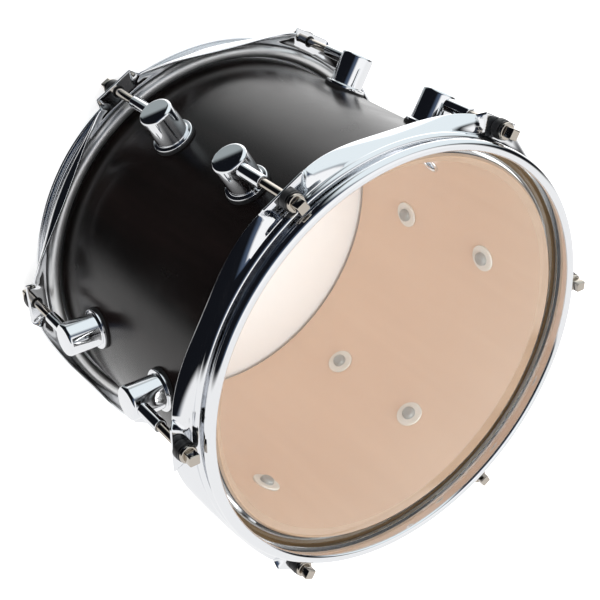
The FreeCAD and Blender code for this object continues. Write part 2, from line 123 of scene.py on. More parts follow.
class TomShellSizes(bpy.types.PropertyGroup):
    """Sizes of the wooden shell and its vent."""
    radius: length("Radius", "Outside radius of the shell", high("outer_ply")[0])
    wall: length("Wall", "Thickness of the whole wall", 0.006)
    ply: length("Outer ply", "Thickness of the lacquered outer ply", 0.0006)
    setback: length("Edge setback", "Outer face to the peak of the bearing edge", 0.002)
    peak: length("Edge peak", "Width of the bearing edge's peak", 0.0006)
    vent_radius: length("Vent", "Radius of the air vent's hole", 0.0064)
    flange_radius: length("Vent flange", "Radius of the vent grommet's flange", 0.0095)
    grommet_sheet: length("Grommet sheet", "Thickness of the grommet's metal", 0.0012)
    grommet_clearance: length("Grommet clearance", "Gap between the grommet's tube and its hole", 0.00002)
    sides: count("Sides", "Steps round the shell", 252, 24)


class TomHeadSizes(bpy.types.PropertyGroup):
    """Sizes of the films and of the flesh hoops that hold them."""
    film: length("Film", "Thickness of the film", 0.00025)
    flesh_inner: length("Flesh hoop inside", "Inner radius of the flesh hoop", 0.1282)
    flesh_outer: length("Flesh hoop outside", "Outer radius of the flesh hoop", high("front_flesh_hoop")[0])
    flesh_top: length("Flesh hoop top", "Top of the flesh hoop below the bearing plane", 0.001)
    flesh_foot: length("Flesh hoop foot", "Foot of the flesh hoop below the bearing plane", 0.009)
    flesh_wall: length("Flesh hoop wall", "Sheet of the flesh hoop's channel", 0.0012)
    lip: length("Inner lip", "Top of the channel's inner wall below the bearing plane", 0.004)
    foot_round: length("Foot round", "Rounding of the channel's foot", 0.0034)
    resin_top: length("Resin top", "Top of the resin below the bearing plane", 0.004)
    hem: length("Hem", "Radius at which the film goes into the resin", 0.1312)
    collar_round: length("Collar round", "Rounding of the film over the bearing edge", 0.0016)
    sides: count("Sides", "Steps round the heads", 252, 24)


class TomHoopSizes(bpy.types.PropertyGroup):
    """Sizes of the triple-flanged hoops, in the sheet that they are rolled from."""
    sheet: length("Sheet", "Thickness of the rolled steel", 0.0016)
    rim_inner: length("Rim inside", "Inner radius of the rim", 0.131)
    rim_reach: length("Rim reach", "Reach of the turned-out rim", 0.0065)
    rim_rise: length("Rim rise", "Top of the rim above the bearing plane", above_plane("front_hoop"))
    rim_roll: length("Rim roll", "Outside radius of the rim's rolled lip", 0.0038)
    rim_drop: length("Rim drop", "Edge of the rolled lip below the rim's top", 0.0044)
    step: length("Step", "Underside of the step below the bearing plane", 0.001)
    wall_outer: length("Wall outside", "Outer radius of the wall below the step", 0.1378)
    skirt_length: length("Skirt length", "Length of the skirt's leaning part between the ears", 0.0108)
    skirt_lean: angle("Skirt lean", "Lean of the skirt from hanging, between the ears", 6.0)
    skirt_droop: angle("Skirt droop", "Change of the skirt's lean from its root to its edge", 44.0)
    ear_drop: length("Ear drop", "Top of the ears below the bearing plane", 0.0034)
    ear_tip: length("Ear tip", "Distance of the ears' straight tip from the axis", EAR_TIP)
    ear_bend: length("Ear bend", "Radius of the bend from wall to ear", 0.0016)
    ear_root: length("Ear root", "Width of an ear's level part at the wall", 0.013)
    ear_width: length("Ear width", "Width of an ear's level part at its tip", 0.027)
    ear_fold: length("Ear fold", "Width of the steep fold beside an ear, at its tip", 0.0036)
    fold_root: factor("Fold root", "Share of the fold's width that it has at the wall", 0.3)
    wing_length: length("Wing length", "Length of the flange beside the fold", 0.0114)
    wing_lean: angle("Wing lean", "Lean of the flange from hanging, beside the fold", 60.0)
    wing_droop: angle("Wing droop", "Change of a wing's lean from its root to its edge", 56.0)
    wing_start: angle("Wing start", "Turn from the rod at which a wing begins to sweep back", 7.1)
    wing_end: angle("Wing end", "Turn from the rod at which a wing has become plain skirt", 29.0)
    wing_curve: FloatProperty(name="Wing curve", description="How soon a wing's lean dies away", default=1.7)
    outer_bend: length("Outer bend", "Outside radius of the rolled bends", 0.0024)
    step_bend: length("Step bend", "Outside radius of the bend from step to skirt", 0.0031)
    inner_bend: length("Inner bend", "Inside radius of the rolled bends", 0.0008)
    lip_round: length("Lip round", "Rounding of the edge of the rim's lip", 0.0006)
    hole_radius: length("Rod hole", "Radius of the hole in an ear", 0.0039)
    hole_sides: count("Hole sides", "Steps round a rod hole", 32, 8)
    sides: count("Sides", "Steps round the hoop", 960, 72)


class TomLugSizes(bpy.types.PropertyGroup):
    """Sizes of the turret lugs, their receiver tubes, gaskets and screws."""
    rod_circle: length("Rod circle", "Distance of the rods from the drum's axis", ROD_CIRCLE)
    base: length("Base", "Distance of the lug's foot from the axis", TURRET_FOOT)
    base_radius: length("Base radius", "Radius of the lug's foot flange", 0.013)
    base_height: length("Base height", "Thickness of the foot flange", 0.0018)
    radius: length("Turret radius", "Radius of the turret", 0.0105)
    top: length("Turret top", "Distance of the turret's top from the axis", TURRET_TOP)
    top_round: length("Turret round", "Rounding of the turret's top", 0.0021)
    tube_radius: length("Receiver radius", "Radius of the receiver tube", 0.004)
    tube_bore: length("Receiver bore", "Radius of the receiver's bore", 0.002775)
    tube_reach: length("Receiver reach", "Mouth of the receiver from the lug's middle", 0.0293)
    tube_root: length("Receiver root", "Other end of the receiver from the lug's middle", 0.006)
    washer_radius: length("Screw washer", "Radius of the washer inside the shell", WASHER_RADIUS)
    washer_height: length("Screw washer height", "Thickness of that washer", 0.0012)
    washer_seat: length("Screw washer seat", "Distance of its seat from the axis", WASHER_SEAT)
    screw_head_radius: length("Screw head", "Radius of the screw's head", 0.0046)
    screw_head_height: length("Screw head height", "Height of the screw's head", 0.0032)
    screw_radius: length("Screw shank", "Radius of the screw's shank", 0.0025)
    screw_tip: length("Screw tip", "Distance of the screw's tip from the axis", 0.1368)
    screw_head_round: length("Screw head round", "Rounding of the screw's head", 0.0022)
    washer_gap: length("Screw washer gap", "Gap between the screw's shank and its washer", 0.0005)
    washer_round: length("Screw washer round", "Rounding of that washer's edge", 0.0004)
    foot_round: length("Foot round", "Rounding where the turret stands on its flange", 0.0005)
    mouth_round: length("Mouth round", "Rounding of the receiver's mouth", 0.0006)
    bore_round: length("Bore round", "Rounding of the receiver's bore at its mouth", 0.0003)
    sides: count("Sides", "Steps round a turret", 96, 24)


class TomRodSizes(bpy.types.PropertyGroup):
    """Sizes of the tension rods and of what lies under their heads."""
    radius: length("Rod radius", "Radius of the shank", 0.0027)
    foot: length("Rod foot", "End of the rod below the bearing plane", 0.048)
    collar_seat: length("Collar seat", "Underside of the collar above the bearing plane",
                        above_plane("front_rod_washers"))
    collar_radius: length("Collar radius", "Radius of the collar", 0.0053)
    collar_height: length("Collar height", "Height of the collar", 0.002)
    key: length("Key square", "Width across the flats of the key head", 0.00635)
    key_top: length("Key top", "Top of the key head above the bearing plane", above_plane("front_rod_1"))
    thread_pitch: length("Thread pitch", "Pitch of the thread", 0.0254 / 24)
    thread_depth: length("Thread depth", "Depth of the thread", 0.00045)
    thread_top: length("Thread top", "Start of the thread below the bearing plane", 0.0285)
    bush_radius: length("Bush radius", "Radius of the bush's flange", 0.006)
    bush_top: length("Bush top", "Top of the bush above the bearing plane", above_plane("front_rod_bushes"))
    sleeve_radius: length("Sleeve radius", "Radius of the bush's sleeve", 0.0038)
    bore: length("Bush bore", "Radius of the bore of bush and washer", 0.003)
    washer_radius: length("Washer radius", "Radius of the washer under the collar", 0.0057)
    collar_ease: length("Collar ease", "Rounding of the collar's underside", 0.0003)
    key_round: length("Key round", "Rounding of the key head's edges", 0.0008)
    bush_round: length("Bush round", "Rounding of the bush's top", 0.0009)
    bush_ease: length("Bush ease", "Rounding of the bush where it sits on the ear", 0.0006)
    washer_round: length("Washer round", "Rounding of the washer under the collar", 0.0003)
    clearance: length("Clearance", "Gap between that washer and the collar that turns on it", 0.00004)


class TomFinishes(bpy.types.PropertyGroup):
    """Colours of the drum's finishes."""
    chrome: colour("Chrome", "Chrome of hoops, lugs and tubes", 0.82, 0.83, 0.85)
    rod: colour("Rods", "Nickel of the tension rods", 0.50, 0.455, 0.40)
    lacquer: colour("Lacquer", "Dark lacquer of the shell", 0.004, 0.0034, 0.0032)
    lacquer_tint: colour("Lacquer tint", "Brown that shows in the lacquer", 0.010, 0.0065, 0.006)
    maple: colour("Maple", "Light wood inside the shell", 0.80, 0.585, 0.425)
    maple_dark: colour("Maple figure", "Darker figure of that wood", 0.765, 0.55, 0.395)
    # Bearing edge and its figure: the same maple as inside, darker as painted shade, so the edge faces that
    # catch the lamp render at the inside's tone.
    edge: colour("Bearing edge", "Waxed wood of the bearing edges", 0.51, 0.35, 0.24)
    edge_dark: colour("Bearing edge figure", "Darker figure of that wood", 0.465, 0.31, 0.205)
    clear_film: colour("Clear film", "Film of the front head", 0.98, 0.985, 0.98)
    film_shade: colour("Film shade", "Light that passes through the clear film", 0.97, 0.975, 0.97)
    # The rear head's film is white; its cool tint is painted light that cancels the warm light the maple
    # inside bounces onto it.
    white_film: colour("White film", "Film of the rear head", 0.92, 0.955, 0.985)
    black: colour("Black", "Nylon bushes and rubber gaskets", 0.012, 0.012, 0.013)
    zinc: colour("Screws", "Zinc plate of the lug screws", 0.36, 0.37, 0.36)
    white_nylon: colour("White nylon", "Washers under the lug screws", 0.80, 0.79, 0.74)
    aluminium: colour("Aluminium", "Flesh hoops", 0.80, 0.80, 0.80)
    dark_steel: colour("Dark steel", "Blackened washers under the rod collars", 0.05, 0.05, 0.05)
    # Resin: amber resin, darkened partly as painted shade for the shadowed gap at each head's edge.
    resin: colour("Resin", "Dark resin in the flesh hoops", 0.20, 0.125, 0.058)


class TomStage(bpy.types.PropertyGroup):
    """Camera, floor and studio light."""
    azimuth: angle("Azimuth", "Camera's bearing from lug one", 13.2)
    elevation: angle("Elevation", "Camera's height over the heads", 44.33)
    roll: angle("Roll", "Turn of the camera about its view", 125.52)
    distance: length("Distance", "Camera from the drum's middle", 0.7528)
    lens: FloatProperty(name="Lens", description="Focal length for a 36 mm frame", default=69.92)
    shift: FloatVectorProperty(name="Shift", description="Shift of the frame", size=2,
                               default=(-0.0053, -0.017))
    floor_size: length("Floor", "Half width of the floor", 6.0)
    floor_glow: factor("Floor glow", "Strength that makes up the floor's white to the eye", 0.62)
    key_power: FloatProperty(name="Key", description="Power of the lamp over the drum", default=11.5,
                             unit="POWER")
    key_size: length("Key size", "Width of that lamp", 1.0)
    key_place: FloatVectorProperty(name="Key place", description="Where that lamp hangs, facing down",
                                   default=(0.1, 0.05, 1.3), size=3, subtype="TRANSLATION")
    ambient: factor("Ambient", "Strength of the studio's own light", 0.85, top=4.0)
    dark: colour("Dark", "Dark side of the studio, between the lit patches", 0.007, 0.008, 0.011)


# What the metal mirrors: a direction, the cosines at which the patch starts and is whole, and its light.
STUDIO_PATCHES = {
    "glow beside the front panel": ((0.15, 0.04, 0.99), 0.55, 0.85, (0.08, 0.11, 0.17)),
    "low panel": ((0.10, -0.50, -0.86), 0.812, 0.85, (0.36, 0.40, 0.41)),
    "soft panel over the shell": ((-0.10, -0.76, -0.64), 0.72, 0.95, (1.9, 1.9, 1.9)),
    "side panel": ((0.42, -0.90, 0.08), 0.68, 0.84, (0.93, 1.01, 1.04)),
    "front panel": ((-0.20, -0.05, 0.98), 0.62, 0.80, (1.1, 1.1, 1.1)),
    "white table": ((-0.853, 0.522, 0.0), 0.06, 0.24, (1.0, 1.0, 1.0)),
}

GROUPS = {
    "tom_shell": TomShellSizes,
    "tom_heads": TomHeadSizes,
    "tom_hoops": TomHoopSizes,
    "tom_lugs": TomLugSizes,
    "tom_rods": TomRodSizes,
    "tom_finishes": TomFinishes,
    "tom_stage": TomStage,
}


def set_inputs(node, **inputs):
    """Sets a node's inputs by name; underscores stand for spaces."""
    for name, value in inputs.items():
        node.inputs[name.replace("_", " ")].default_value = value


def add_node(tree, kind, **inputs):
    """A shader node with its inputs set by name."""
    node = tree.nodes.new(kind)
    set_inputs(node, **inputs)
    return node


def feed(tree, source, socket):
    """Gives an input a value, or a link where the source is another socket."""
    if isinstance(source, bpy.types.NodeSocket):
        tree.links.new(source, socket)
    else:
        socket.default_value = source


def laid_over(tree, under, over, mask):
    """One colour or socket over another by a mask."""
    mix = tree.nodes.new("ShaderNodeMix")
    mix.data_type = "RGBA"
    feed(tree, under, mix.inputs["A"])
    feed(tree, over, mix.inputs["B"])
    tree.links.new(mask, mix.inputs["Factor"])
    return mix.outputs["Result"]


def any_ray(tree, *kinds):
    """1 for a ray of any of these kinds."""
    path = tree.nodes.new("ShaderNodeLightPath")
    total = path.outputs[kinds[0]]
    for kind in kinds[1:]:
        most = tree.nodes.new("ShaderNodeMath")
        most.operation = "MAXIMUM"
        tree.links.new(total, most.inputs[0])
        tree.links.new(path.outputs[kind], most.inputs[1])
        total = most.outputs["Value"]
    return total


def new_group(name, inputs, outputs):
    """An empty shader node group with named number or colour sockets."""
    group = bpy.data.node_groups.new(name, "ShaderNodeTree")
    for socket, kind, default in inputs:
        made = group.interface.new_socket(name=socket, in_out="INPUT", socket_type=kind)
        made.default_value = default
    for socket, kind in outputs:
        group.interface.new_socket(name=socket, in_out="OUTPUT", socket_type=kind)
    return group, group.nodes.new("NodeGroupInput"), group.nodes.new("NodeGroupOutput")


def stretched_noise(tree, stretch, scale, detail=4.0):
    """Noise on the object's own coordinates, drawn out by a scale along each axis."""
    place = tree.nodes.new("ShaderNodeTexCoord")
    mapping = add_node(tree, "ShaderNodeMapping", Scale=stretch)
    noise = add_node(tree, "ShaderNodeTexNoise", Scale=scale, Detail=detail, Roughness=0.6)
    tree.links.new(place.outputs["Object"], mapping.inputs["Vector"])
    tree.links.new(mapping.outputs["Vector"], noise.inputs["Vector"])
    return noise


def remap(tree, source, to_low, to_high, from_low=0.0, from_high=1.0):
    """A socket's value spread to a new range; ends may be sockets."""
    node = add_node(tree, "ShaderNodeMapRange", From_Min=from_low, From_Max=from_high)
    tree.links.new(source, node.inputs["Value"])
    feed(tree, to_low, node.inputs["To Min"])
    feed(tree, to_high, node.inputs["To Max"])
    return node.outputs["Result"]


def handling_group():
    """Smudges and fine scratches of a handled surface, as roughness and height."""
    name = "Handling Marks"
    if name in bpy.data.node_groups:
        return bpy.data.node_groups[name]
    group, entry, leave = new_group(
        name,
        [("Clean", "NodeSocketFloat", 0.05), ("Smudged", "NodeSocketFloat", 0.12)],
        [("Roughness", "NodeSocketFloat"), ("Height", "NodeSocketFloat")])
    smudge = stretched_noise(group, stretch=(1, 1, 1), scale=38.0)
    rough = remap(group, smudge.outputs["Fac"], entry.outputs["Clean"], entry.outputs["Smudged"],
                  from_low=0.42, from_high=0.72)
    scratch = stretched_noise(group, stretch=(9, 9, 1), scale=160.0, detail=2.0)
    group.links.new(rough, leave.inputs["Roughness"])
    group.links.new(scratch.outputs["Fac"], leave.inputs["Height"])
    return group


def grain_group():
    """Wood figure that runs along the drum's axis, as a blend mask and a pore height."""
    name = "Wood Grain"
    if name in bpy.data.node_groups:
        return bpy.data.node_groups[name]
    group, _, leave = new_group(name, [], [("Figure", "NodeSocketFloat"), ("Pores", "NodeSocketFloat")])
    broad = stretched_noise(group, stretch=(40, 40, 3), scale=1.3, detail=5.0)
    pores = stretched_noise(group, stretch=(500, 500, 30), scale=1.6, detail=3.0)
    figure = remap(group, broad.outputs["Fac"], 0.0, 1.0, from_low=0.35, from_high=0.65)
    group.links.new(figure, leave.inputs["Figure"])
    group.links.new(pores.outputs["Fac"], leave.inputs["Pores"])
    return group


def placed_group(tree, group):
    """A node that brings a node group into a tree."""
    node = tree.nodes.new("ShaderNodeGroup")
    node.node_tree = group
    return node


def new_material(name):
    """A material with its node tree and its shader."""
    material = bpy.data.materials.new(name)
    material.use_nodes = True
    tree = material.node_tree
    return material, tree, tree.nodes["Principled BSDF"]


def bump(tree, height, shader, strength, depth):
    """Roughens a shader's surface by a height."""
    node = add_node(tree, "ShaderNodeBump", Strength=strength, Distance=depth)
    tree.links.new(height, node.inputs["Height"])
    tree.links.new(node.outputs["Normal"], shader.inputs["Normal"])


def handled(tree, shader, clean, smudged, strength=0.0, depth=0.0):
    """Gives a shader the marks of handling, between two roughness values."""
    marks = placed_group(tree, handling_group())
    set_inputs(marks, Clean=clean, Smudged=smudged)
    tree.links.new(marks.outputs["Roughness"], shader.inputs["Roughness"])
    if strength:
        bump(tree, marks.outputs["Height"], shader, strength, depth)


def plain(name, tint, clean, smudged, strength, metallic=0.0):
    """Metal or plastic of one colour, between the roughness of its clean and of its smudged places."""
    material, tree, shader = new_material(name)
    set_inputs(shader, Base_Color=tint, Metallic=metallic)
    handled(tree, shader, clean, smudged, strength, METAL_MARKS if metallic else PLASTIC_MARKS)
    return material


def wood(name, light, dark, clean, smudged, strength, gloss=0.5):
    """Wood with its figure between two colours, and open pores."""
    material, tree, shader = new_material(name)
    grain = placed_group(tree, grain_group())
    figured = laid_over(tree, light, dark, grain.outputs["Figure"])
    tree.links.new(figured, shader.inputs["Base Color"])
    set_inputs(shader, Specular_IOR_Level=gloss)
    handled(tree, shader, clean, smudged)
    bump(tree, grain.outputs["Pores"], shader, strength, PORES)
    return material


def clear_film_material(finishes):
    """Clear film: glossy and see-through to the eye, and open to the light that passes it."""
    material, tree, shader = new_material("Clear Film")
    set_inputs(shader, Transmission_Weight=1.0, IOR=1.5, Base_Color=finishes.clear_film)
    handled(tree, shader, clean=0.0, smudged=0.02)
    open_light = add_node(tree, "ShaderNodeBsdfTransparent", Color=finishes.film_shade)
    mix = tree.nodes.new("ShaderNodeMixShader")
    tree.links.new(any_ray(tree, "Is Shadow Ray", "Is Diffuse Ray"), mix.inputs["Fac"])
    tree.links.new(shader.outputs["BSDF"], mix.inputs[1])
    tree.links.new(open_light.outputs["BSDF"], mix.inputs[2])
    tree.links.new(mix.outputs["Shader"], tree.nodes["Material Output"].inputs["Surface"])
    return material


# Each finish: its colours, its roughness clean and smudged, how strong its marks are, how metallic it is.
FINISHES = {
    "chrome": lambda tints: plain("Chrome", tints.chrome, 0.03, 0.08, 0.05, 1.0),
    "rod_steel": lambda tints: plain("Rod Nickel", tints.rod, 0.06, 0.13, 0.1, 1.0),
    "flesh_aluminium": lambda tints: plain("Flesh Hoop Aluminium", tints.aluminium, 0.4, 0.52, 0.1, 1.0),
    "plated_steel": lambda tints: plain("Screw Zinc", tints.zinc, 0.5, 0.62, 0.1, 0.3),
    "dark_steel": lambda tints: plain("Dark Washer", tints.dark_steel, 0.3, 0.4, 0.1, 1.0),
    "white_nylon": lambda tints: plain("White Nylon", tints.white_nylon, 0.4, 0.55, 0.1),
    "black_nylon": lambda tints: plain("Black Nylon", tints.black, 0.38, 0.52, 0.2),
    "black_rubber": lambda tints: plain("Black Rubber", tints.black, 0.55, 0.7, 0.3),
    "white_film": lambda tints: plain("White Film", tints.white_film, 0.35, 0.5, 0.1),
    # The resin's dark tone is partly painted shade for the gap at the head's edge.
    "resin": lambda tints: plain("Cast Resin", tints.resin, 0.45, 0.6, 0.2),
    "dark_lacquer": lambda tints: wood("Dark Lacquer", tints.lacquer, tints.lacquer_tint, 0.2, 0.28, 0.1,
                                       gloss=0.3),
    "maple": lambda tints: wood("Maple", tints.maple, tints.maple_dark, 0.38, 0.5, 0.08),
    # Bearing edges: real maple, darkened as painted shade.
    "shaded_edge_wood": lambda tints: wood("Shaded Edge Wood", tints.edge, tints.edge_dark, 0.38, 0.5, 0.08),
    "clear_film": clear_film_material,
}
made_finishes = {}


def finish_of(context, name):
    """The material of a finish, made the first time that it is asked for."""
    if name not in made_finishes:
        made_finishes[name] = FINISHES[name](context.scene.tom_finishes)
    return made_finishes[name]


def section(bm, corners, roundings=()):
    """A flat face in the XZ plane; each rounding is a radius with the numbers of its corners.

    Wide roundings get more segments than tight ones.
    """
    verts = [bm.verts.new((across, 0.0, up)) for across, up in corners]
    bm.faces.new(verts)
    for radius, numbers in roundings:
        segments = BEND_SEGMENTS if radius < ROLL_RADIUS else ROLL_SEGMENTS
        bmesh.ops.bevel(bm, geom=[verts[number] for number in numbers], offset=radius, offset_type="OFFSET",
                        segments=segments, profile=0.5, affect="VERTICES", material=-1)


def spin(bm, sides):
    """Turns the section's outline once round the upright axis: one lug's share of it, and then the others."""
    bmesh.ops.delete(bm, geom=bm.faces[:], context="FACES_ONLY")
    bmesh.ops.spin(bm, geom=bm.verts[:] + bm.edges[:], cent=(0, 0, 0), axis=(0, 0, 1), angle=PITCH,
                   steps=sides // LUG_COUNT)
    repeat_round(bm)
    close(bm)


def close(bm):
    """Joins seams and poles, and then turns every face outwards."""
    bmesh.ops.remove_doubles(bm, verts=bm.verts, dist=MERGE_DISTANCE)
    bmesh.ops.dissolve_degenerate(bm, edges=bm.edges, dist=MERGE_DISTANCE)
    bmesh.ops.recalc_face_normals(bm, faces=bm.faces)


def turned(corners, roundings=(), sides=ROUND_SIDES):
    """A bmesh turned about +Z from a section."""
    bm = bmesh.new()
    section(bm, corners, roundings)
    spin(bm, sides)
    return bm


def repeat_round(bm):
    """Copies what is there to every lug's place round the drum."""
    bmesh.ops.spin(bm, geom=bm.verts[:] + bm.edges[:] + bm.faces[:], cent=(0, 0, 0), axis=(0, 0, 1),
                   angle=FULL_TURN - PITCH, steps=LUG_COUNT - 1, use_duplicate=True)


def ring_of(corners, roundings, distance):
    """A turned shape, moved out from the drum's axis and copied to every lug's place."""
    bm = turned(corners, roundings)
    bmesh.ops.translate(bm, vec=(distance, 0, 0), verts=bm.verts)
    repeat_round(bm)
    return bm


def facing(end):
    """Turns over what is drawn for the front end, for the rear one."""
    return Matrix.Identity(4) if end == "front" else Matrix.Rotation(math.pi, 4, "X")


def at_end(end):
    """From the bearing plane's own frame to the drum's."""
    return Matrix.Translation((0, 0, PLANE[end])) @ facing(end)


def at_lug(end, number=1):
    """From a lug's frame, its axis along +Z, to its place on the shell."""
    swing = Matrix.Rotation(PITCH * (number - 1), 4, "Z")
    upright = Matrix.Rotation(math.pi / 2, 4, "Y")
    return Matrix.Translation((0, 0, LUG_HEIGHT[end])) @ swing @ facing(end) @ upright


def add_object(name, data):
    """An object of the scene with this data."""
    made = bpy.data.objects.new(name, data)
    bpy.context.scene.collection.objects.link(made)
    return made


def add_piece(context, bm, name, body, nodes, finish, place=None, sharp=35.0):
    """Makes a bmesh a piece that stands for CAD nodes and rides on their body."""
    if place is not None:
        bmesh.ops.transform(bm, matrix=place, verts=bm.verts)
    mesh = bpy.data.meshes.new(name)
    bm.to_mesh(mesh)
    bm.free()
    mesh.shade_smooth()
    mesh.set_sharp_from_angle(angle=math.radians(sharp))
    mesh.materials.append(finish_of(context, finish))
    piece = add_object(name, mesh)
    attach(piece, body)
    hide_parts(*nodes)
    return piece


def round_cutter(radius, depth, sides):
    """A plain round cutter about +Z."""
    bm = bmesh.new()
    bmesh.ops.create_cone(bm, cap_ends=True, segments=sides, radius1=radius, radius2=radius, depth=depth)
    return bm


def cut(piece, cutter):
    """Takes a cutter's solid out of a piece's mesh and throws the cutter away."""
    tool_mesh = bpy.data.meshes.new("cutter")
    cutter.to_mesh(tool_mesh)
    cutter.free()
    tool = add_object("cutter", tool_mesh)
    modifier = piece.modifiers.new("cut", "BOOLEAN")
    modifier.operation = "DIFFERENCE"
    modifier.solver = "MANIFOLD"
    modifier.object = tool
    seen = piece.evaluated_get(bpy.context.evaluated_depsgraph_get())
    cut_mesh = bpy.data.meshes.new_from_object(seen)
    piece.modifiers.remove(modifier)
    old_mesh = piece.data
    piece.data = cut_mesh
    bpy.data.meshes.remove(old_mesh)
    cut_mesh.name = piece.name
    bpy.data.objects.remove(tool)
    bpy.data.meshes.remove(tool_mesh)


class TOM_OT_stage(bpy.types.Operator):
    """Sets up the floor, the soft studio light and the camera"""
    bl_idname = "tom.stage"
    bl_label = "Stage"

    def execute(self, context):
        stage = context.scene.tom_stage
        context.scene.view_settings.view_transform = "Standard"
        self.add_camera(context, stage)
        self.add_floor(stage)
        self.light_studio(context, stage)
        return {"FINISHED"}

    def add_camera(self, context, stage):
        """Looks at the drum's middle from its bearing and height, rolled about the view."""
        out = Matrix.Rotation(stage.azimuth, 4, "Z") @ Matrix.Rotation(math.pi / 2, 4, "Z")
        tilt = Matrix.Rotation(math.pi / 2 - stage.elevation, 4, "X")
        roll = Matrix.Rotation(stage.roll, 4, "Z")
        camera = bpy.data.cameras.new("Camera")
        camera.lens = stage.lens
        camera.shift_x, camera.shift_y = stage.shift
        seat = add_object("Camera", camera)
        place = Matrix.Translation((0, 0, MIDDLE)) @ out @ tilt @ roll
        seat.matrix_world = place @ Matrix.Translation((0, 0, stage.distance))
        context.scene.camera = seat

    def add_floor(self, stage):
        """A white floor, made up to full white for the eye and hidden from glossy rays."""
        bm = bmesh.new()
        bmesh.ops.create_grid(bm, x_segments=1, y_segments=1, size=stage.floor_size)
        mesh = bpy.data.meshes.new("Floor")
        bm.to_mesh(mesh)
        bm.free()
        material, tree, shader = new_material("Studio Floor")
        set_inputs(shader, Base_Color=(0.9, 0.9, 0.9, 1.0), Roughness=0.9, Emission_Color=(1, 1, 1, 1))
        seen = any_ray(tree, "Is Camera Ray", "Is Glossy Ray", "Is Transmission Ray")
        tree.links.new(remap(tree, seen, 0.0, stage.floor_glow), shader.inputs["Emission Strength"])
        mesh.materials.append(material)
        floor = add_object("Floor", mesh)
        floor.visible_glossy = False

    def light_studio(self, context, stage):
        """White to the eye; in metal the lit patches of a studio that is dark between them."""
        world = bpy.data.worlds.new("Studio")
        context.scene.world = world
        world.use_nodes = True
        tree = world.node_tree
        ambient = (stage.ambient, stage.ambient, stage.ambient, 1.0)
        white = (1.0, 1.0, 1.0, 1.0)
        studio = stage.dark
        for towards, edge, full, lit in STUDIO_PATCHES.values():
            studio = laid_over(tree, studio, (*lit, 1.0), self.sky_patch(tree, towards, edge, full))
        light = laid_over(tree, ambient, studio, any_ray(tree, "Is Glossy Ray"))
        light = laid_over(tree, light, white, any_ray(tree, "Is Camera Ray", "Is Transmission Ray"))
        tree.links.new(light, tree.nodes["Background"].inputs["Color"])
        lamp = bpy.data.lights.new("Key", "AREA")
        lamp.energy = stage.key_power
        lamp.size = stage.key_size
        stand = add_object("Key", lamp)
        stand.matrix_world = Matrix.Translation(stage.key_place)
        stand.visible_glossy = False

    def sky_patch(self, tree, towards, edge, full):
        """1 around a direction of the sky; edge and full are cosines at which it starts and is whole."""
        place = tree.nodes.new("ShaderNodeTexCoord")
        dot = tree.nodes.new("ShaderNodeVectorMath")
        dot.operation = "DOT_PRODUCT"
        dot.inputs[1].default_value = towards
        tree.links.new(place.outputs["Generated"], dot.inputs[0])
        share = add_node(tree, "ShaderNodeMapRange", From_Min=edge, From_Max=full)
        share.interpolation_type = "SMOOTHSTEP"
        tree.links.new(dot.outputs["Value"], share.inputs["Value"])
        return share.outputs["Result"]


class TOM_OT_shell(bpy.types.Operator):
    """Builds the maple shell, its lacquered ply and the vent grommet"""
    bl_idname = "tom.shell"
    bl_label = "Shell"

    def execute(self, context):
        sizes = context.scene.tom_shell
        inner = sizes.radius - sizes.wall
        ply_inner = sizes.radius - sizes.ply
        peak_outer = sizes.radius - sizes.setback
        peak_inner = peak_outer - sizes.peak
        rear, front = PLANE["rear"], PLANE["front"]
        inner_fall = peak_inner - inner
        outer_fall = ply_inner - peak_outer
        wood = [(inner, rear + inner_fall), (peak_inner, rear), (peak_outer, rear),
                (ply_inner, rear + outer_fall), (ply_inner, front - outer_fall), (peak_outer, front),
                (peak_inner, front), (inner, front - inner_fall)]
        skin = [(ply_inner, rear + outer_fall), (sizes.radius, rear + sizes.setback),
                (sizes.radius, front - sizes.setback), (ply_inner, front - outer_fall)]
        for name, corners, finish in (("shell", wood, "maple"), ("outer_ply", skin, "dark_lacquer")):
            bm = turned(corners, sides=sizes.sides)
            piece = add_piece(context, bm, f"{name}_look", DRUM, [name], finish)
            cut(piece, self.vent_cutter(sizes))
            if finish == "maple":
                self.shade_edge_faces(context, piece)
        self.add_grommet(context, sizes)
        return {"FINISHED"}

    def shade_edge_faces(self, context, piece):
        """Gives the bearing edges, the faces that look up or down the drum, the same maple made darker: that
        extra darkness is painted shade.
        """
        slots = piece.data.materials
        slots.append(finish_of(context, "shaded_edge_wood"))
        for face in piece.data.polygons:
            if abs(face.normal.z) > EDGE_SLOPE:
                face.material_index = len(slots) - 1

    def to_vent(self):
        """From a frame whose +Z points out of the drum to the vent's place."""
        return Matrix.Translation((0, 0, MIDDLE)) @ Matrix.Rotation(math.pi / 2, 4, "X")

    def vent_cutter(self, sizes):
        """Cutter for the vent's hole."""
        bm = round_cutter(sizes.vent_radius, sizes.radius, ROUND_SIDES)
        out = self.to_vent() @ Matrix.Translation((0, 0, sizes.radius))
        bmesh.ops.transform(bm, matrix=out, verts=bm.verts)
        return bm

    def add_grommet(self, context, sizes):
        """Tube through the wall, with a flange outside and its end rolled over inside."""
        tube = sizes.vent_radius - sizes.grommet_clearance
        sheet = sizes.grommet_sheet
        flange_top, foot = -low("vent_grommet")[1], -high("vent_grommet")[1]
        flange_foot = flange_top - sheet
        rolled = sizes.vent_radius + sheet
        corners = [(tube - sheet, foot), (tube - sheet, flange_top), (sizes.flange_radius, flange_top),
                   (sizes.flange_radius, flange_foot), (tube, flange_foot), (tube, foot + sheet),
                   (rolled, foot + sheet), (rolled, foot)]
        bm = turned(corners, [(sheet * GROMMET_ROLL, [0, 1, 2]), (sheet * SOFT_EDGE, [7])])
        add_piece(context, bm, "vent_grommet_look", DRUM, ["vent_grommet"], "chrome", self.to_vent())


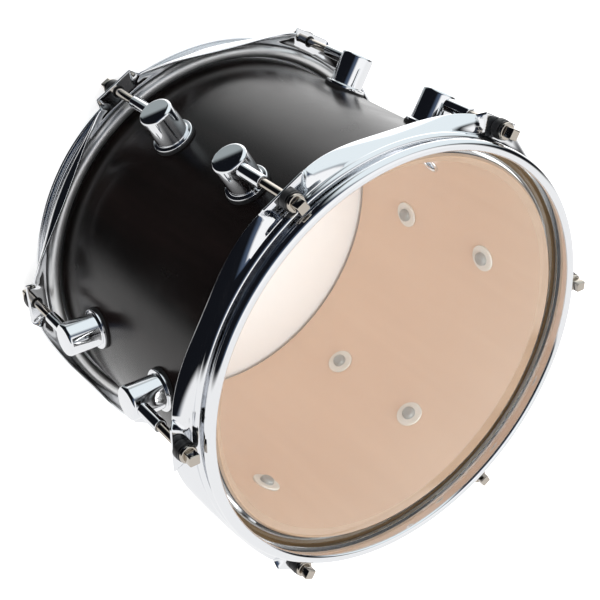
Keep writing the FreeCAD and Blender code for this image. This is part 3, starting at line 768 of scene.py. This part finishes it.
class TOM_OT_heads(bpy.types.Operator):
    """Builds both heads: film, flesh hoop and resin"""
    bl_idname = "tom.heads"
    bl_label = "Heads"

    def execute(self, context):
        for end in ENDS:
            self.add_film(context, end)
            self.add_flesh_hoop(context, end)
        return {"FINISHED"}

    def add_film(self, context, end):
        """Flat over the bearing edge, then sloped down to the resin, the same thickness all over."""
        heads, shell = context.scene.tom_heads, context.scene.tom_shell
        peak = shell.radius - shell.setback
        film, hem, foot = heads.film, heads.hem, -heads.resin_top
        corners = [(0.0, 0.0), (peak, 0.0), (hem, foot + film), (hem, foot), (hem + film, foot),
                   (hem + film, foot + 2 * film), (peak + film / 2, film), (0.0, film)]
        bm = turned(corners, [(heads.collar_round, [1, 6])], heads.sides)
        finish = "clear_film" if end == "front" else "white_film"
        add_piece(context, bm, f"{end}_film_look", f"{end}_head_set", [f"{end}_head_film"], finish,
                  at_end(end))

    def add_flesh_hoop(self, context, end):
        """Channel with a rounded foot, and the resin cast in it."""
        heads = context.scene.tom_heads
        inner, outer, wall = heads.flesh_inner, heads.flesh_outer, heads.flesh_wall
        top, foot, lip, resin = -heads.flesh_top, -heads.flesh_foot, -heads.lip, -heads.resin_top
        bed, near, far = foot + wall, inner + wall, outer - wall
        corners = [(inner, foot), (outer, foot), (outer, top), (far, top), (far, bed), (near, bed),
                   (near, lip), (inner, lip)]
        bm = turned(corners, [(heads.foot_round, [0, 1]), (wall * FULL_EDGE, [2, 3, 6, 7])], heads.sides)
        add_piece(context, bm, f"{end}_flesh_hoop_look", f"{end}_head_set", [f"{end}_flesh_hoop"],
                  "flesh_aluminium", at_end(end))
        cast = [(near, bed), (far, bed), (far, resin), (near, resin)]
        add_piece(context, turned(cast, sides=heads.sides), f"{end}_resin_look", f"{end}_head_set",
                  [f"{end}_resin_ring"], "resin", at_end(end))


class TOM_OT_hoops(bpy.types.Operator):
    """Rolls both triple-flanged hoops and turns their ears out"""
    bl_idname = "tom.hoops"
    bl_label = "Hoops"

    def execute(self, context):
        sizes = context.scene.tom_hoops
        for end in ENDS:
            bm = self.rolled_ring(sizes)
            self.turn_out_ears(bm, sizes)
            bmesh.ops.recalc_face_normals(bm, faces=bm.faces)
            piece = add_piece(context, bm, f"{end}_hoop_look", f"{end}_hoop_set", [f"{end}_hoop"], "chrome",
                              at_end(end))
            cut(piece, self.rod_holes(context, end))
        return {"FINISHED"}

    def bend_start(self, sizes):
        """Height at which the wall begins to turn out at an ear."""
        return -(sizes.ear_drop + sizes.sheet / 2 - sizes.ear_bend)

    def rolled_ring(self, sizes):
        """The hoop's section, with spare corners down the skirt to bend it at, spun once round."""
        inner, outer = sizes.wall_outer - sizes.sheet, sizes.wall_outer
        rim, upper = sizes.rim_inner, sizes.rim_inner + sizes.sheet
        lip, lip_inner = rim + sizes.rim_reach, rim + sizes.rim_reach - sizes.sheet
        rise, under, lip_foot = sizes.rim_rise, sizes.rim_rise - sizes.sheet, sizes.rim_rise - sizes.rim_drop
        step_top = sizes.sheet - sizes.step
        start = self.bend_start(sizes)
        foot = start - self.skirt_run(sizes)
        stops = [start + (foot - start) * number / SKIRT_STEPS for number in range(SKIRT_STEPS)]
        corners = [(rim, -sizes.step), (inner, -sizes.step)]
        corners += [(inner, stop) for stop in stops]
        corners += [(inner, foot), (outer, foot)]
        corners += [(outer, stop) for stop in reversed(stops)]
        last = len(corners)
        corners += [(outer, step_top), (upper, step_top), (upper, under), (lip_inner, under),
                    (lip_inner, lip_foot), (lip, lip_foot), (lip, rise), (rim, rise)]
        foot_corner = 2 + len(stops)
        roundings = [(sizes.outer_bend, [0, last + 7]), (sizes.step_bend, [last]),
                     (sizes.inner_bend, [1, last + 1, last + 2]), (sizes.rim_roll, [last + 6]),
                     (sizes.rim_roll - sizes.sheet, [last + 3]), (sizes.lip_round, [last + 4, last + 5]),
                     (sizes.sheet * HOOP_EDGE, [foot_corner, foot_corner + 1])]
        return turned(corners, roundings, sizes.sides)

    def skirt_run(self, sizes):
        """Length of the sheet from the bend's start to the skirt's foot."""
        return sizes.skirt_length + sizes.ear_drop + self.bend_start(sizes)

    def bent(self, sizes, run, whole, lean, droop, side):
        """Where a point of the sheet comes to, by its run along the sheet and its side of the middle.

        The sheet bends out to its lean, and then droops by an angle on the way to its edge.
        """
        root = lean + droop / 2
        arc = min(run, sizes.ear_bend * root)
        turned_by = arc / sizes.ear_bend
        across = sizes.wall_outer - sizes.sheet / 2 + sizes.ear_bend * (1 - math.cos(turned_by))
        up = self.bend_start(sizes) - sizes.ear_bend * math.sin(turned_by)
        rest = run - arc
        if rest > 0.0:
            fall = droop * rest / max(whole - arc, rest)
            middle = root - fall / 2
            across += rest * math.sin(middle)
            up -= rest * math.cos(middle)
            turned_by = root - fall
        return across + side * math.cos(turned_by), up + side * math.sin(turned_by)

    def turn_out_ears(self, bm, sizes):
        """Bends the skirt out to a level ear at each rod, with a fold and a swept wing on each side."""
        middle = sizes.wall_outer - sizes.sheet / 2
        start, plain = self.bend_start(sizes), self.skirt_run(sizes)
        for vert in bm.verts:
            share = (start - vert.co.z) / plain
            if share <= 0.0:
                continue
            side = math.hypot(vert.co.x, vert.co.y) - middle
            bearing = math.atan2(vert.co.y, vert.co.x)
            away = abs((bearing + PITCH / 2) % PITCH - PITCH / 2)
            left = min(max((sizes.wing_end - away) / (sizes.wing_end - sizes.wing_start), 0.0), 1.0)
            lean = sizes.skirt_lean + (sizes.wing_lean - sizes.skirt_lean) * left ** sizes.wing_curve
            run = plain + (sizes.wing_length - sizes.skirt_length) * left ** 2
            droop = sizes.skirt_droop + (sizes.wing_droop - sizes.skirt_droop) * math.sqrt(left)
            across, up = self.bent(sizes, share * run, run, lean, droop, side)
            reach = sizes.ear_tip / math.cos(away) - middle - sizes.ear_bend * (1 - math.pi / 2)
            level_across, level_up = self.bent(sizes, share * reach, reach, math.pi / 2, 0.0, side)
            out = min(max((level_across - middle) / (sizes.ear_tip - middle), 0.0), 1.0)
            half = (sizes.ear_root + (sizes.ear_width - sizes.ear_root) * out) / 2
            fold = sizes.ear_fold * (sizes.fold_root + (1 - sizes.fold_root) * out)
            hang = self.ease((level_across * math.sin(away) - half) / fold)
            across = level_across + (across - level_across) * hang
            up = level_up + (up - level_up) * hang
            vert.co = (across * math.cos(bearing), across * math.sin(bearing), up)

    def ease(self, share):
        """From 0 to 1, level at both ends."""
        share = min(max(share, 0.0), 1.0)
        return share * share * (3 - 2 * share)

    def rod_holes(self, context, end):
        """Cutter for the holes in the ears."""
        sizes = context.scene.tom_hoops
        bm = round_cutter(sizes.hole_radius, sizes.sheet * 3, sizes.hole_sides)
        place = (context.scene.tom_lugs.rod_circle, 0, -sizes.ear_drop - sizes.sheet / 2)
        bmesh.ops.translate(bm, vec=place, verts=bm.verts)
        repeat_round(bm)
        bmesh.ops.transform(bm, matrix=at_end(end), verts=bm.verts)
        return bm


class TOM_OT_lugs(bpy.types.Operator):
    """Builds the turret lugs and their receiver tubes, and gives the gaskets their finish"""
    bl_idname = "tom.lugs"
    bl_label = "Lugs"

    def execute(self, context):
        for end in ENDS:
            for number in range(1, LUG_COUNT + 1):
                self.add_turret(context, end, number)
            self.add_receivers(context, end)
            gasket_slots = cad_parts[f"{end}_gaskets"].data.materials
            gasket_slots.clear()
            gasket_slots.append(finish_of(context, "black_rubber"))
        return {"FINISHED"}

    def add_turret(self, context, end, number):
        """Straight round body with an eased top, on a thin flange."""
        sizes = context.scene.tom_lugs
        shoulder = sizes.base + sizes.base_height
        corners = [(0.0, sizes.base), (sizes.base_radius, sizes.base), (sizes.base_radius, shoulder),
                   (sizes.radius, shoulder), (sizes.radius, sizes.top), (0.0, sizes.top)]
        roundings = [(sizes.top_round, [4]), (sizes.base_height * FULL_EDGE, [2]), (sizes.foot_round, [3])]
        bm = turned(corners, roundings, sizes.sides)
        name = f"{end}_turret_{number}"
        add_piece(context, bm, f"{name}_look", DRUM, [name], "chrome", at_lug(end, number))

    def add_receivers(self, context, end):
        """Tubes with an eased mouth, standing out of the turrets along the drum."""
        sizes = context.scene.tom_lugs
        bore, outer = sizes.tube_bore, sizes.tube_radius
        foot, mouth = -sizes.tube_root, sizes.tube_reach
        corners = [(bore, foot), (outer, foot), (outer, mouth), (bore, mouth)]
        bm = ring_of(corners, [(sizes.mouth_round, [2]), (sizes.bore_round, [3])], sizes.rod_circle)
        place = Matrix.Translation((0, 0, LUG_HEIGHT[end])) @ facing(end)
        add_piece(context, bm, f"{end}_receivers_look", DRUM, [f"{end}_receivers"], "chrome", place)


class TOM_OT_rods(bpy.types.Operator):
    """Builds the tension rods with their bushes and washers"""
    bl_idname = "tom.rods"
    bl_label = "Rods"

    def execute(self, context):
        for end in ENDS:
            for number in range(1, LUG_COUNT + 1):
                self.add_rod(context, end, number)
            self.add_bushes(context, end)
        return {"FINISHED"}

    def add_rod(self, context, end, number):
        """Round shank and collar, and a square key head with eased edges."""
        sizes = context.scene.tom_rods
        seat = sizes.collar_seat
        top = seat + sizes.collar_height
        key_height = sizes.key_top - top
        foot = -sizes.foot
        point = sizes.radius * ROD_POINT
        root = sizes.radius - sizes.thread_depth
        turns = int((sizes.foot - sizes.thread_top) / sizes.thread_pitch) - 1
        corners = [(0.0, foot), (sizes.radius - point, foot), (sizes.radius, foot + point)]
        for turn in range(turns, 0, -1):
            height = -sizes.thread_top - turn * sizes.thread_pitch
            corners += [(sizes.radius, height), (root, height + sizes.thread_pitch / 2)]
        last = len(corners)
        corners += [(sizes.radius, -sizes.thread_top), (sizes.radius, seat), (sizes.collar_radius, seat),
                    (sizes.collar_radius, top), (0.0, top)]
        bm = turned(corners, [(sizes.collar_height * SOFT_EDGE, [last + 3]), (sizes.collar_ease, [last + 2])])
        key = bmesh.ops.create_cube(bm, size=sizes.key)["verts"]
        bmesh.ops.scale(bm, vec=(1, 1, key_height / sizes.key), verts=key)
        bmesh.ops.translate(bm, vec=(0, 0, top + key_height / 2), verts=key)
        edges = {edge for vert in key for edge in vert.link_edges}
        bmesh.ops.bevel(bm, geom=list(edges), offset=sizes.key_round, offset_type="OFFSET",
                        segments=KEY_SEGMENTS, profile=0.5, affect="EDGES", material=-1)
        swing = Matrix.Rotation(PITCH * (number - 1) * (1 if end == "front" else -1), 4, "Z")
        place = at_end(end) @ swing @ Matrix.Translation((context.scene.tom_lugs.rod_circle, 0, 0))
        name = f"{end}_rod_{number}"
        add_piece(context, bm, f"{name}_look", name, [name], "rod_steel", place)

    def add_bushes(self, context, end):
        """Thick black bushes in the ears and the thin dark washers on them."""
        sizes, hoop = context.scene.tom_rods, context.scene.tom_hoops
        ear, under = -hoop.ear_drop, -(hoop.ear_drop + hoop.sheet)
        top, washer_top = sizes.bush_top, sizes.collar_seat - sizes.clearance
        bore, sleeve, flange, rim = sizes.bore, sizes.sleeve_radius, sizes.bush_radius, sizes.washer_radius
        bush = [(bore, under), (sleeve, under), (sleeve, ear), (flange, ear), (flange, top), (bore, top)]
        washer = [(bore, top), (rim, top), (rim, washer_top), (bore, washer_top)]
        for name, corners, roundings, finish in (
                ("rod_bushes", bush, [(sizes.bush_round, [4]), (sizes.bush_ease, [3])], "black_nylon"),
                ("rod_washers", washer, [(sizes.washer_round, [1, 2])], "dark_steel")):
            bm = ring_of(corners, roundings, context.scene.tom_lugs.rod_circle)
            add_piece(context, bm, f"{end}_{name}_look", f"{end}_hoop_set", [f"{end}_{name}"], finish,
                      at_end(end))


class TOM_OT_screws(bpy.types.Operator):
    """Builds the lug screws and their washers inside the shell"""
    bl_idname = "tom.screws"
    bl_label = "Lug Screws"

    def execute(self, context):
        sizes = context.scene.tom_lugs
        seat = sizes.washer_seat
        head = seat - sizes.washer_height
        crown = head - sizes.screw_head_height
        screw = [(0.0, crown), (sizes.screw_head_radius, crown), (sizes.screw_head_radius, head),
                 (sizes.screw_radius, head), (sizes.screw_radius, sizes.screw_tip), (0.0, sizes.screw_tip)]
        hole = sizes.screw_radius + sizes.washer_gap
        washer = [(hole, head), (sizes.washer_radius, head), (sizes.washer_radius, seat), (hole, seat)]
        for end in ENDS:
            for name, corners, roundings, finish in (
                    ("lug_screws", screw, [(sizes.screw_head_round, [1])], "plated_steel"),
                    ("screw_washers", washer, [(sizes.washer_round, [1])], "white_nylon")):
                bm = turned(corners, roundings)
                bmesh.ops.transform(bm, matrix=Matrix.Rotation(math.pi / 2, 4, "Y"), verts=bm.verts)
                repeat_round(bm)
                place = Matrix.Translation((0, 0, LUG_HEIGHT[end]))
                add_piece(context, bm, f"{end}_{name}_look", DRUM, [f"{end}_{name}"], finish, place)
        return {"FINISHED"}


class TOM_PT_panel(bpy.types.Panel):
    """Lists the builders of the drum's pieces"""
    bl_idname = "TOM_PT_panel"
    bl_label = "Rack Tom"
    bl_space_type = "VIEW_3D"
    bl_region_type = "UI"
    bl_category = "Rack Tom"

    def draw(self, context):
        for operator in OPERATORS:
            self.layout.operator(operator.bl_idname)


OPERATORS = (TOM_OT_stage, TOM_OT_shell, TOM_OT_heads, TOM_OT_hoops, TOM_OT_lugs, TOM_OT_rods, TOM_OT_screws)


def register():
    for name, group in GROUPS.items():
        bpy.utils.register_class(group)
        setattr(bpy.types.Scene, name, PointerProperty(type=group))
    for operator in OPERATORS:
        bpy.utils.register_class(operator)
    bpy.utils.register_class(TOM_PT_panel)


def unregister():
    bpy.utils.unregister_class(TOM_PT_panel)
    for operator in OPERATORS:
        bpy.utils.unregister_class(operator)
    for name, group in GROUPS.items():
        delattr(bpy.types.Scene, name)
        bpy.utils.unregister_class(group)


def main():
    register()
    bpy.ops.tom.stage()
    bpy.ops.tom.shell()
    bpy.ops.tom.heads()
    bpy.ops.tom.hoops()
    bpy.ops.tom.lugs()
    bpy.ops.tom.rods()
    bpy.ops.tom.screws()


if __name__ == "__main__":
    main()
